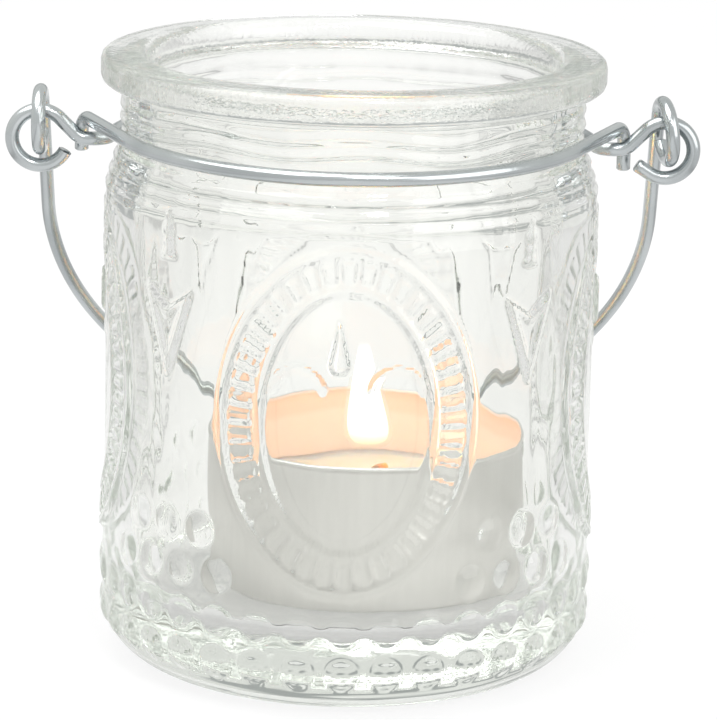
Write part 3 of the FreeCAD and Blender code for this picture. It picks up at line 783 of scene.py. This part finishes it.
# %% Wick foot
FOOT_CORNERS = [(0.5, 9.22, 0), (8.0, 9.22, 0.1), (8.0, 9.5, 0.1), (1.3, 9.5, 0.15), (1.1, 13.98, 0.05),
                (0.72, 13.98, 0.05), (0.72, 9.56, 0.05), (0.3, 9.56, 0)]
foot_grid = turned(rounded_outline(FOOT_CORNERS, 5), round_angles(64), CUP_MIDDLE)
foot_points, foot_faces = capped_grid(foot_grid)
foot = new_piece("wick_foot", foot_points, foot_faces, "tealight", "wick_sustainer")

# %% [markdown]
# ## The flame
#
# A flame is glowing gas with no skin. A volume would be truest, but it is slow and noisy behind glass. Two closed
# teardrops, one inside the other, stand for the bright core and the faint edge. Their finish fades with height, so
# the tip is lost against the white behind, as in the photograph.

# %% Flame
FLAME_FOOT, FLAME_TIP, FLAME_X, FLAME_Y = 25.2, 43.0, 2.6, 1.6
FLAME_ROWS, FLAME_COLUMNS = 44, 40
EDGE_HALF_W, CORE_HALF_W = 2.95, 2.5


def flame_skin(half_width, foot, tip):
    """A teardrop: its half width is w sin(pi s^0.38)^0.9 at the share s of its height, and its middle leans left."""
    share = np.linspace(0.004, 0.997, FLAME_ROWS)
    width = half_width * np.sin(np.pi * share ** 0.38) ** 0.9
    rise_z = foot + (tip - foot) * share
    lean = FLAME_X - 0.9 * share ** 1.2
    angle = np.linspace(0, 2 * np.pi, FLAME_COLUMNS, endpoint=False)
    grid = np.stack([lean[:, None] + width[:, None] * np.sin(angle), FLAME_Y - width[:, None] * np.cos(angle),
                     np.repeat(rise_z[:, None], FLAME_COLUMNS, 1)], -1)
    return grid, np.repeat(share, FLAME_COLUMNS)


def flame_piece(name, half_width, foot, tip):
    """A teardrop that rides on the tealight; it stands for no CAD node."""
    grid, share = flame_skin(half_width, foot, tip)
    points, faces = capped_grid(grid)
    piece = new_piece(name, points, faces, "tealight", None)
    add_values(piece, "share", np.concatenate([share, [0, 1]]))
    return piece


flame_edge = flame_piece("flame_edge", EDGE_HALF_W, FLAME_FOOT, FLAME_TIP)
flame_core = flame_piece("flame_core", CORE_HALF_W, FLAME_FOOT + 0.5, FLAME_TIP - 2)

# %% [markdown]
# ## Finishes
#
# Each finish is one Principled shader with a few nodes before it. The nodes could be joined by hand in the Shader
# Editor. Short helpers add a node and fill its sockets, so that a finish reads like a recipe.

# %% Node helpers
def fill(tree, node, **sockets):
    """Gives each socket a constant, or links another node's output to it; n0, n1 and so on count the sockets."""
    for key, content in sockets.items():
        counted = key[0] == "n" and key[1:].isdigit()
        socket = node.inputs[int(key[1:]) if counted else key.replace("_", " ")]
        if isinstance(content, bpy.types.NodeSocket):
            tree.links.new(content, socket)
        else:
            socket.default_value = content


def add_node(tree, kind, settings=None, **sockets):
    """Adds a node with its settings and sockets."""
    node = tree.nodes.new(kind)
    for key, setting in (settings or {}).items():
        setattr(node, key, setting)
    fill(tree, node, **sockets)
    return node


def new_finish(name):
    """An empty material with an output and one Principled shader."""
    finish = bpy.data.materials.new(name)
    finish.use_nodes = True
    tree = finish.node_tree
    return finish, tree, tree.nodes["Principled BSDF"]


def give(finish, *pieces):
    """Puts a finish on each piece."""
    for piece in pieces:
        piece.data.materials.append(finish)
    print(f"{finish.name}: {len(finish.node_tree.nodes)} nodes, on", ", ".join(piece.name for piece in pieces))


# %% [markdown]
# ## Nodes that come back often
#
# Noise in Object coordinates stays on a piece when it moves. Ramps and ranges turn it into colours and numbers.
# Each gets a one-line helper, because the same few nodes make up every finish below.

# %% Common nodes
def object_point(tree):
    """The place on the object, in metres."""
    return add_node(tree, "ShaderNodeTexCoord").outputs["Object"]


def noise(tree, vector, scale, detail, roughness=0.5):
    """Cloudy noise near 0 to 1."""
    return add_node(tree, "ShaderNodeTexNoise", Vector=vector, Scale=scale, Detail=detail,
                    Roughness=roughness).outputs["Fac"]


def stored(tree, name):
    """The number that a piece stores for each of its points."""
    return add_node(tree, "ShaderNodeAttribute", {"attribute_name": name}).outputs["Fac"]


def spread(tree, value, low, high, start=0.0, end=1.0):
    """A value from start to end becomes low to high, and stays within them."""
    return add_node(tree, "ShaderNodeMapRange", Value=value, From_Min=start, From_Max=end,
                    To_Min=low, To_Max=high).outputs["Result"]


def ramp(tree, factor, stops):
    """A colour ramp through (place, colour) stops."""
    node = add_node(tree, "ShaderNodeValToRGB", Fac=factor)
    elements = node.color_ramp.elements
    while len(elements) < len(stops):
        elements.new(0.5)
    for element, (place, colour) in zip(elements, stops):
        element.position = place
        element.color = (*colour, 1)
    return node.outputs["Color"]


def grey(tone):
    """A grey as a colour."""
    return (tone, tone, tone)


def mix_colour(tree, factor, first, second):
    """A Mix node for colours: its sockets 6 and 7 are the two colours and its output 2 is the mixed one."""
    return add_node(tree, "ShaderNodeMix", {"data_type": "RGBA"}, Factor=factor, n6=first, n7=second).outputs[2]


def maths(tree, operation, first, second=0.0):
    """A Math node on one or two numbers."""
    return add_node(tree, "ShaderNodeMath", {"operation": operation}, n0=first, n1=second).outputs[0]


def bump(tree, height, strength, distance):
    """A bump of the surface; the distance is in metres."""
    return add_node(tree, "ShaderNodeBump", Height=height, Strength=strength, Distance=distance).outputs["Normal"]


# %% [markdown]
# ## Glass
#
# Pressed glass is clear with a faint green tint where it is thick, wavy where the mould was rough, and here a
# little dull and grainy on the rim. Its walls are real, so most of the tint is an absorption inside and not a paint
# on the skin. The waves are too fine to be geometry, so they are a bump that the stored waviness scales.

# %% Glass
RIM_GRAIN_FROM, RIM_GRAIN_TO = 0.0708, 0.0716
glass, tree, shader = new_finish("pressed_glass")
place = object_point(tree)
height = add_node(tree, "ShaderNodeSeparateXYZ", Vector=place).outputs["Z"]
grainy = spread(tree, height, 0.0, 0.22, RIM_GRAIN_FROM, RIM_GRAIN_TO)
rim_grain = bump(tree, noise(tree, place, 1500.0, 2.0), grainy, 0.0003)
streak = add_node(tree, "ShaderNodeMapping", Vector=place, Scale=(1.0, 1.0, 0.3)).outputs["Vector"]
waves = noise(tree, streak, 170.0, 1.5, 0.45)
uneven = spread(tree, stored(tree, "waviness"), 0.04, 0.5)
wavy = add_node(tree, "ShaderNodeBump", Height=waves, Strength=uneven, Distance=0.0008, Normal=rim_grain)
dull = spread(tree, height, 0.02, 0.09, RIM_GRAIN_FROM, RIM_GRAIN_TO)
fill(tree, shader, Base_Color=(0.975, 0.978, 0.96, 1), IOR=1.5, Transmission_Weight=1.0, Roughness=dull,
     Normal=wavy.outputs["Normal"])
tint = add_node(tree, "ShaderNodeVolumeAbsorption", Color=(0.74, 0.775, 0.73, 1), Density=11.0)
fill(tree, tree.nodes["Material Output"], Volume=tint.outputs["Volume"])
give(glass, jar)

# %% [markdown]
# ## Zinc wire
#
# The wire is drawn steel with a bright zinc coat: a metal whose tone and gloss change slightly from place to place.
# A plain metal would look like chrome. Broad noise varies the tone, and fine noise the gloss and the surface.

# %% Zinc wire
zinc, tree, shader = new_finish("zinc_plated_wire")
place = object_point(tree)
spangle = noise(tree, place, 420.0, 4.0, 0.6)
cloud = noise(tree, place, 90.0, 2.0)
tone = ramp(tree, cloud, [(0.3, (0.45, 0.48, 0.49)), (0.7, (0.61, 0.64, 0.65))])
fill(tree, shader, Base_Color=tone, Metallic=1.0, Roughness=spread(tree, spangle, 0.13, 0.28),
     Normal=bump(tree, spangle, 0.15, 0.0002))
give(zinc, back_wire, front_wire, bail)

# %% [markdown]
# ## Cup foil
#
# Outside, the foil is satin metal with upright lines from the drawing die. Inside, a film of wax hides the metal
# and is lit by the candle lamp. Its peach tone is partly the film and partly painted candle glow, a little deeper
# above a height of about 25 mm. Two materials would need two sets of faces. The stored number "inside" mixes both in
# one.

# %% Cup foil
# Heights over which the painted glow of the inner wall turns a little deeper in tone.
UPPER_WALL_FROM, UPPER_WALL_TO = 0.0246, 0.0254
foil, tree, shader = new_finish("drawn_aluminium")
place = object_point(tree)
stretch = add_node(tree, "ShaderNodeMapping", Vector=place, Scale=(1.0, 1.0, 0.12)).outputs["Vector"]
die_lines = noise(tree, stretch, 900.0, 3.0)
film_and_glow_mask = stored(tree, "inside")
height = add_node(tree, "ShaderNodeSeparateXYZ", Vector=place).outputs["Z"]
upper_wall = spread(tree, height, 0.0, 1.0, UPPER_WALL_FROM, UPPER_WALL_TO)
# Painted candle glow: the peach of the inner wall stands partly for the flame's light and partly for the wax film.
film_and_glow_tone = ramp(tree, upper_wall, [(0.0, (0.97, 0.82, 0.73)), (1.0, (0.93, 0.75, 0.64))])
outside_tone = ramp(tree, die_lines, [(0.3, (0.80, 0.79, 0.76)), (0.7, (0.84, 0.83, 0.80))])
fill(tree, shader, Base_Color=mix_colour(tree, film_and_glow_mask, outside_tone, film_and_glow_tone),
     Metallic=spread(tree, film_and_glow_mask, 0.85, 0.15), Roughness=spread(tree, die_lines, 0.30, 0.40),
     Normal=bump(tree, die_lines, 0.12, 0.0002))
give(foil, cup)

# %% [markdown]
# ## Paraffin
#
# Light goes into wax, scatters and comes out again some millimetres away, red furthest. Without that it looks like
# painted plaster. Subsurface scattering does it, and a low roughness makes the pool look molten.

# %% Paraffin
paraffin, tree, shader = new_finish("molten_paraffin")
grain = noise(tree, object_point(tree), 240.0, 3.0)
# The peach of the wax is partly its own colour and partly painted candle glow, matched to the glowing inner wall of
# the cup.
tone = ramp(tree, grain, [(0.3, (0.97, 0.80, 0.62)), (0.7, (0.99, 0.86, 0.70))])
fill(tree, shader, Base_Color=tone, Roughness=0.16, IOR=1.44, Subsurface_Weight=0.7,
     Subsurface_Radius=(0.006, 0.004, 0.0025), Subsurface_Scale=1.0, Normal=bump(tree, grain, 0.08, 0.0003))
give(paraffin, wax)

# %% [markdown]
# ## Charred cotton
#
# The wick is pale in the wax, black above it, and glows at its very tip. Three materials could follow each other.
# One ramp along the stored share of the length blends them as fire does.

# %% Charred cotton
charred, tree, shader = new_finish("charred_cotton")
share = stored(tree, "share")
fray = noise(tree, object_point(tree), 2600.0, 3.0)
cotton = ramp(tree, share, [(0.66, (0.78, 0.70, 0.60)), (0.78, (0.05, 0.035, 0.03)), (1.0, (0.02, 0.015, 0.015))])
ember = ramp(tree, share, [(0.945, (0, 0, 0)), (0.97, (0.8, 0.16, 0.02)), (1.0, (1.0, 0.45, 0.10))])
fill(tree, shader, Base_Color=cotton, Roughness=0.9, Emission_Color=ember, Emission_Strength=1.0,
     Normal=bump(tree, fray, 0.5, 0.0003))
give(charred, wick)

# %% [markdown]
# ## Tin
#
# The wick's foot is thin tinplate, a plain bright metal with faint clouds. It is hidden by the wax at every pose,
# so one noise for the tone is enough.

# %% Tin
tin, tree, shader = new_finish("tin_plate")
mottle = noise(tree, object_point(tree), 500.0, 2.0)
tone = ramp(tree, mottle, [(0.3, (0.62, 0.62, 0.61)), (0.7, (0.74, 0.74, 0.73))])
fill(tree, shader, Base_Color=tone, Metallic=1.0, Roughness=0.3)
give(tin, foot)

# %% [markdown]
# ## Burning gas
#
# The core is nearly white and the edge yellow, and both are only light: black in colour, with no gloss. Their alpha
# rises over the first tenth of the height, holds, and falls to nothing before the tip, so no outline is left.

# %% Burning gas
EDGE_COLOURS = [(0.0, (1.0, 0.84, 0.55)), (0.3, (1.0, 0.93, 0.70)), (1.0, (1.0, 0.97, 0.9))]
CORE_COLOURS = [(0.0, (1.0, 0.80, 0.42)), (0.16, (1.0, 0.97, 0.84)), (1.0, (1.0, 1.0, 0.97))]


def burning_gas(flame, colours, strength, full, hold, gone):
    """A glow that is full up to the share hold of the height and gone at the share gone."""
    gas, tree, shader = new_finish(flame.name + "_gas")
    share = stored(tree, "share")
    glow = ramp(tree, share, colours)
    alpha = ramp(tree, share, [(0.0, grey(0)), (0.10, grey(full)), (hold, grey(full)), (gone, grey(0))])
    fill(tree, shader, Base_Color=(0, 0, 0, 1), Roughness=1.0, Specular_IOR_Level=0.0, Emission_Color=glow,
         Emission_Strength=strength, Alpha=alpha)
    give(gas, flame)


burning_gas(flame_edge, EDGE_COLOURS, 1.0, 0.4, 0.3, 0.6)
burning_gas(flame_core, CORE_COLOURS, 2.0, 1.0, 0.5, 0.85)

# %% [markdown]
# ## The world
#
# The photograph is shot against white, so the world is white for the camera. Clear glass has no colour of its own,
# and its edges only show because they bend something darker into view. In a studio that is a dark card at each side
# of the white. Here rays that come through glass or off metal meet a grey room, and a dark ring round the white
# that lies behind the jar. Real cards could stand there, but a ring in the world's colour needs no objects.

# %% World
BEHIND_JAR = (-0.2, 0.92, -0.34)
ROOM_TONES = [(0.0, (0.78, 0.79, 0.78)), (0.5, (0.81, 0.82, 0.80)), (0.88, (0.84, 0.85, 0.83))]
CARD_TONES = [(0.905, (0.38, 0.40, 0.40)), (0.93, (0.40, 0.42, 0.42))]
WHITE_TONES = [(0.95, (0.88, 0.89, 0.87)), (0.985, (1.0, 1.0, 0.98))]
world = bpy.data.worlds.new("white_studio")
bpy.context.scene.world = world
world.use_nodes = True
tree = world.node_tree
way = add_node(tree, "ShaderNodeTexCoord").outputs["Generated"]
behind = add_node(tree, "ShaderNodeVectorMath", {"operation": "DOT_PRODUCT"}, n0=way, n1=BEHIND_JAR).outputs["Value"]
studio = ramp(tree, spread(tree, behind, 0.0, 1.0, -1.0, 1.0), ROOM_TONES + CARD_TONES + WHITE_TONES)
camera_ray = add_node(tree, "ShaderNodeLightPath").outputs["Is Camera Ray"]
fill(tree, tree.nodes["Background"], Color=mix_colour(tree, camera_ray, studio, (1, 1, 1, 1)), Strength=1.0)
print("world:", len(tree.nodes), "nodes")

# %% [markdown]
# ## The floor
#
# The jar stands on white paper that runs out of the picture. For the camera the paper glows white. Seen through
# the glass its glow carries painted shade: it falls off to the sides, with a painted dark strip there that draws the
# jar's edges, and a painted contact shadow makes it a little greyer under the jar. A seventh of it stays plain
# paper, so the jar keeps a faint shadow.

# %% Floor
FLOOR_HALF, FLOOR_DROP, GLOW_SHARE = 1.5, 0.0001, 0.86
PAINTED_FLOOR_TONES = [(0.10, grey(1)), (0.46, grey(0.80)), (0.52, grey(0.46)), (0.60, grey(0.46)), (0.66, grey(0.74))]
floor_corners = [(x * FLOOR_HALF, y * FLOOR_HALF, -FLOOR_DROP) for x, y in ((-1, -1), (1, -1), (1, 1), (-1, 1))]
floor_mesh = bpy.data.meshes.new("floor")
floor_mesh.from_pydata(floor_corners, [], [(0, 1, 2, 3)])
floor = bpy.data.objects.new("floor", floor_mesh)
bpy.context.scene.collection.objects.link(floor)

paper, tree, shader = new_finish("white_paper")
fill(tree, shader, Base_Color=(0.9, 0.9, 0.9, 1), Roughness=0.9)
place = object_point(tree)
rays = add_node(tree, "ShaderNodeLightPath").outputs
sideways = maths(tree, "ABSOLUTE", add_node(tree, "ShaderNodeSeparateXYZ", Vector=place).outputs["X"])
# Painted shade seen through the glass: the floor's glow falls off sideways, with a painted dark strip about 0.1 to
# 0.12 m out.
painted_falloff = ramp(tree, spread(tree, sideways, 0.0, 1.0, 0.0, 0.2), PAINTED_FLOOR_TONES)
away = add_node(tree, "ShaderNodeVectorMath", {"operation": "LENGTH"}, n0=place).outputs["Value"]
# Painted contact shadow: the glow seen through the glass drops to 0.66 within 24 mm of the middle.
painted_contact_shade = spread(tree, away, 0.66, 1.0, 0.024, 0.05)
strength = maths(tree, "MAXIMUM", maths(tree, "MULTIPLY", painted_falloff, painted_contact_shade), rays["Is Camera Ray"])
glow = add_node(tree, "ShaderNodeEmission", Color=(1, 1, 1, 1), Strength=strength).outputs["Emission"]
seen = maths(tree, "MAXIMUM", rays["Is Camera Ray"], rays["Is Transmission Ray"])
glowing = maths(tree, "MULTIPLY", maths(tree, "MAXIMUM", seen, rays["Is Glossy Ray"]), GLOW_SHARE)
blend = add_node(tree, "ShaderNodeMixShader", Fac=glowing, n1=shader.outputs["BSDF"], n2=glow)
fill(tree, tree.nodes["Material Output"], Surface=blend.outputs["Shader"])
give(paper, floor)

# %% [markdown]
# ## Lamps
#
# Two large soft lamps give the metal its broad highlights, and a small one puts a spark on each bead. A warm point
# lamp rides in the flame and lights the cup from inside. Light can be reflected many times inside thick glass, and
# a ray that is cut short turns black there, so the number of bounces is raised.

# %% Lamps
LAMP_AIM, WHITE = (0, 0, 0.03), (1, 1, 1)
CANDLE_POWER, CANDLE_COLOUR, CANDLE_SIZE, CANDLE_HEIGHT = 0.028, (1.0, 0.62, 0.34), 0.002, 0.029
BOUNCES = 32


def soft_lamp(name, place, size, power):
    """A white square lamp that looks at the jar; metres and watts."""
    lamp = bpy.data.lights.new(name, "AREA")
    lamp.size = size
    lamp.energy = power
    lamp.color = WHITE
    holder = bpy.data.objects.new(name, lamp)
    bpy.context.scene.collection.objects.link(holder)
    holder.location = place
    holder.rotation_euler = (Vector(LAMP_AIM) - Vector(place)).to_track_quat("-Z", "Y").to_euler()
    print(f"{name}: {power} W, {size} m wide")


soft_lamp("top_softbox", (-0.25, -0.15, 0.75), 0.7, 4.5)
soft_lamp("side_softbox", (0.7, -0.5, 0.35), 0.8, 3.0)
soft_lamp("bead_spark", (0.12, -0.5, 0.5), 0.1, 1.3)
candle = bpy.data.lights.new("candle_glow", "POINT")
candle.energy = CANDLE_POWER
candle.color = CANDLE_COLOUR
candle.shadow_soft_size = CANDLE_SIZE
candle_glow = bpy.data.objects.new("candle_glow", candle)
bpy.context.scene.collection.objects.link(candle_glow)
candle_glow.location = (FLAME_X * MM, FLAME_Y * MM, CANDLE_HEIGHT)
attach(candle_glow, "tealight")
bpy.context.scene.view_settings.view_transform = "Standard"
bpy.context.scene.cycles.max_bounces = BOUNCES
bpy.context.scene.cycles.transmission_bounces = BOUNCES
bpy.context.scene.cycles.glossy_bounces = BOUNCES
